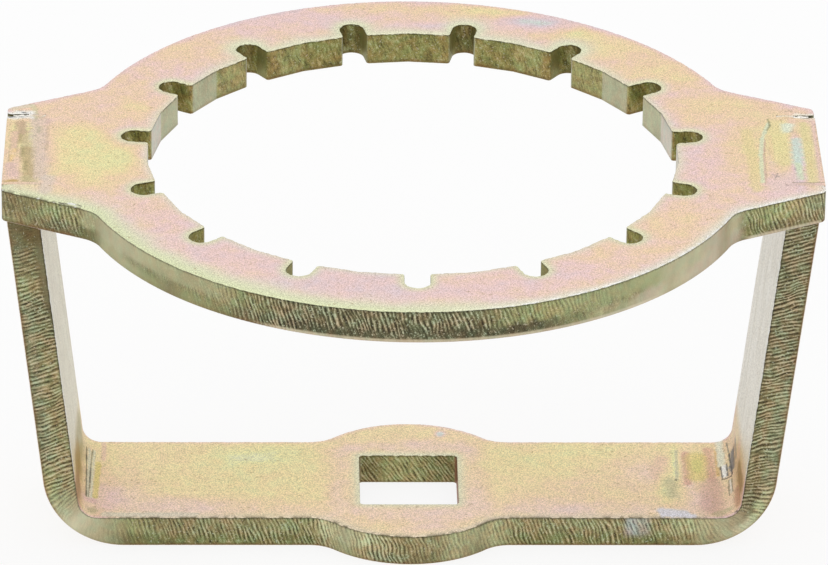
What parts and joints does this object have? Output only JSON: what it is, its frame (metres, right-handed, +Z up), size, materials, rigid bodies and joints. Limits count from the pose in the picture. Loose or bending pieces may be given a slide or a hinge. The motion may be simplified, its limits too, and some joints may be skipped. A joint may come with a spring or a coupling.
{
  "type": "oil filter cap wrench",
  "caption": "Flat notched ring on a bent strap yoke with a square drive hole, for turning the cap of an oil filter.",
  "frame": {"origin": "centre of the square drive hole at the underside of the yoke's bar, which is what the part stands on", "axes": "+X from the left ear to the right ear, +Y towards the back, away from the notch on the front centre line, +Z up from the bar to the ring"},
  "size_m": [0.1044, 0.0878, 0.0529],
  "materials": {
    "ring_plate_steel": "laser-cut mild steel, yellow-passivated zinc plate, satin",
    "yoke_steel": "laser-cut mild steel, yellow-passivated zinc plate, satin",
    "weld_metal": "weld metal, yellow-passivated zinc plate"
  },
  "bodies": {
    "root": {"ring_plate": "ring_plate_steel", "yoke": "yoke_steel", "left_weld": "weld_metal", "right_weld": "weld_metal"}
  },
  "joints": []
}
